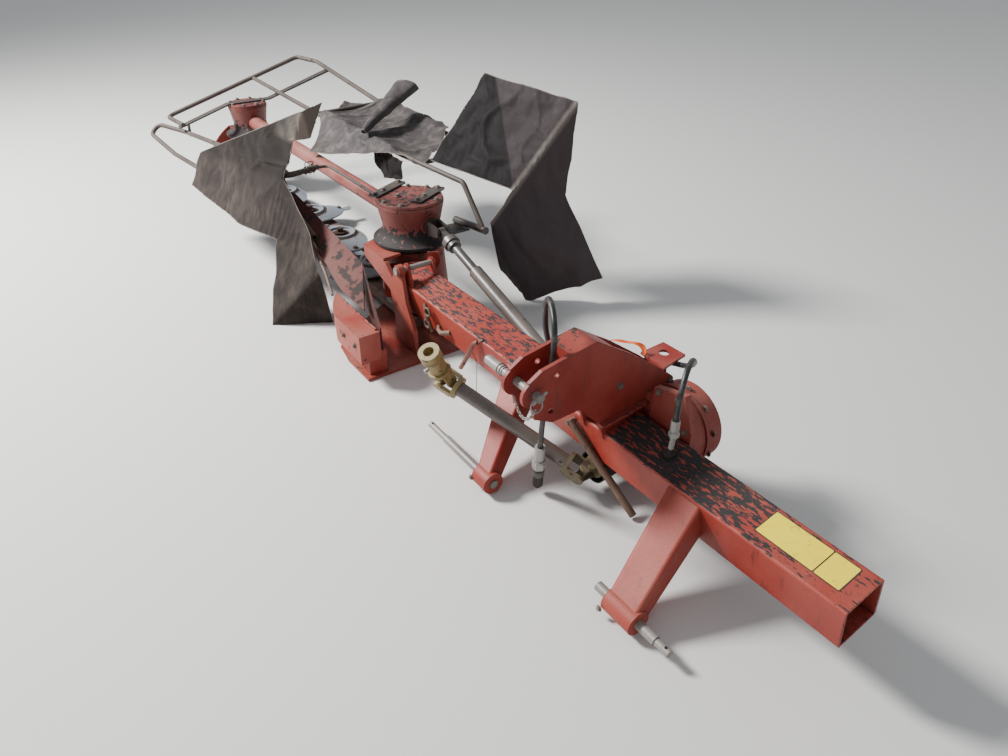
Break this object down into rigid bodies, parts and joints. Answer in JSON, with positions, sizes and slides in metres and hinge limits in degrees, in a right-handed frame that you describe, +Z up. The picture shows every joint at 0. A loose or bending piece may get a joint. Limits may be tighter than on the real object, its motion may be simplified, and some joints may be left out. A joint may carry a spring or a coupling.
{
  "type": "three-point disc mower",
  "caption": "Side-mounted disc mower for a three-point hitch: box beam and mast, lifting cutter bar with oval discs, drums, geared heads and canvas curtains.",
  "frame": {"origin": "on the ground under the middle of the whole machine's box", "axes": "+X from the hitch end towards the outer end of the cutter bar, +Y the way it travels, +Z up"},
  "size_m": [4.52, 1.3313, 0.9297],
  "materials": {
    "bare_steel": "rusty bare steel",
    "black_plastic": "black plastic guard",
    "canvas": "weathered rubberised canvas",
    "disc_steel": "worn blue-grey steel",
    "hose_rubber": "black hydraulic hose",
    "red_paint": "worn red paint, chipped along the edges",
    "yellow_cast": "faded yellow paint on castings"
  },
  "bodies": {
    "headstock": {"beam_end_plate": "red_paint", "drive_case": "red_paint", "hinge_ears": "red_paint", "hinge_pin": "bare_steel", "hose": "hose_rubber", "hose_ends": "bare_steel", "input_guard": "black_plastic", "left_hitch_leg": "red_paint", "lower_pins": "bare_steel", "main_beam": "red_paint", "mast": "red_paint", "pto_inner_yoke": "yellow_cast", "pto_outer_yoke": "yellow_cast", "pto_tube": "bare_steel", "right_hitch_leg": "red_paint", "shaft_tube": "bare_steel", "top_link_pin": "bare_steel", "prop_rod": "bare_steel"},
    "cutter_bar": {"canvas_front": "canvas", "canvas_middle": "canvas", "canvas_rear": "canvas", "cover_tube": "bare_steel", "curtain_hinge": "bare_steel", "far_gearbox": "red_paint", "front_cover": "red_paint", "front_frame": "bare_steel", "gear_case": "red_paint", "head_fork": "bare_steel", "inner_shoe": "red_paint", "lid_bars": "bare_steel", "lift_arm": "red_paint", "near_gearbox": "red_paint", "outer_shoe": "red_paint", "rear_frame": "bare_steel", "skid_shoes": "red_paint", "top_tube": "red_paint"},
    "shaft_slider": {"shaft_slider": "bare_steel"},
    "disc_1": {"disc_1": "disc_steel", "near_drum": "red_paint"},
    "disc_2": {"disc_2": "disc_steel"},
    "disc_3": {"disc_3": "disc_steel"},
    "disc_4": {"disc_4": "disc_steel"},
    "disc_5": {"disc_5": "disc_steel"},
    "disc_6": {"disc_6": "disc_steel", "far_drum": "red_paint"}
  },
  "joints": [
    {"name": "bar_lift", "type": "hinge", "parent": "headstock", "child": "cutter_bar", "pos_m": [-0.279, 0.2, 0.35], "axis": [0, -1, 0], "range_deg": [0, 88]},
    {"name": "shaft_slide", "type": "slide", "parent": "headstock", "child": "shaft_slider", "axis": [0.9502, 0, 0.3116], "range_m": [-0.15, 0]},
    {"name": "disc_1_spin", "type": "hinge", "parent": "cutter_bar", "child": "disc_1", "pos_m": [-0.029, 0.075, 0.1], "axis": [0, 0, 1], "continuous": true},
    {"name": "disc_2_spin", "type": "hinge", "parent": "cutter_bar", "child": "disc_2", "pos_m": [0.37, 0.075, 0.1], "axis": [0, 0, 1], "continuous": true},
    {"name": "disc_3_spin", "type": "hinge", "parent": "cutter_bar", "child": "disc_3", "pos_m": [0.769, 0.075, 0.1], "axis": [0, 0, 1], "continuous": true},
    {"name": "disc_4_spin", "type": "hinge", "parent": "cutter_bar", "child": "disc_4", "pos_m": [1.168, 0.075, 0.1], "axis": [0, 0, 1], "continuous": true},
    {"name": "disc_5_spin", "type": "hinge", "parent": "cutter_bar", "child": "disc_5", "pos_m": [1.567, 0.075, 0.1], "axis": [0, 0, 1], "continuous": true},
    {"name": "disc_6_spin", "type": "hinge", "parent": "cutter_bar", "child": "disc_6", "pos_m": [1.966, 0.075, 0.1], "axis": [0, 0, 1], "continuous": true}
  ],
  "couplings": [
    {"joint": "shaft_slide", "follows": "bar_lift", "m_per_rad": -0.09512},
    {"joint": "disc_2_spin", "follows": "disc_1_spin", "ratio": -1},
    {"joint": "disc_3_spin", "follows": "disc_1_spin", "ratio": 1},
    {"joint": "disc_4_spin", "follows": "disc_1_spin", "ratio": -1},
    {"joint": "disc_5_spin", "follows": "disc_1_spin", "ratio": 1},
    {"joint": "disc_6_spin", "follows": "disc_1_spin", "ratio": -1}
  ]
}
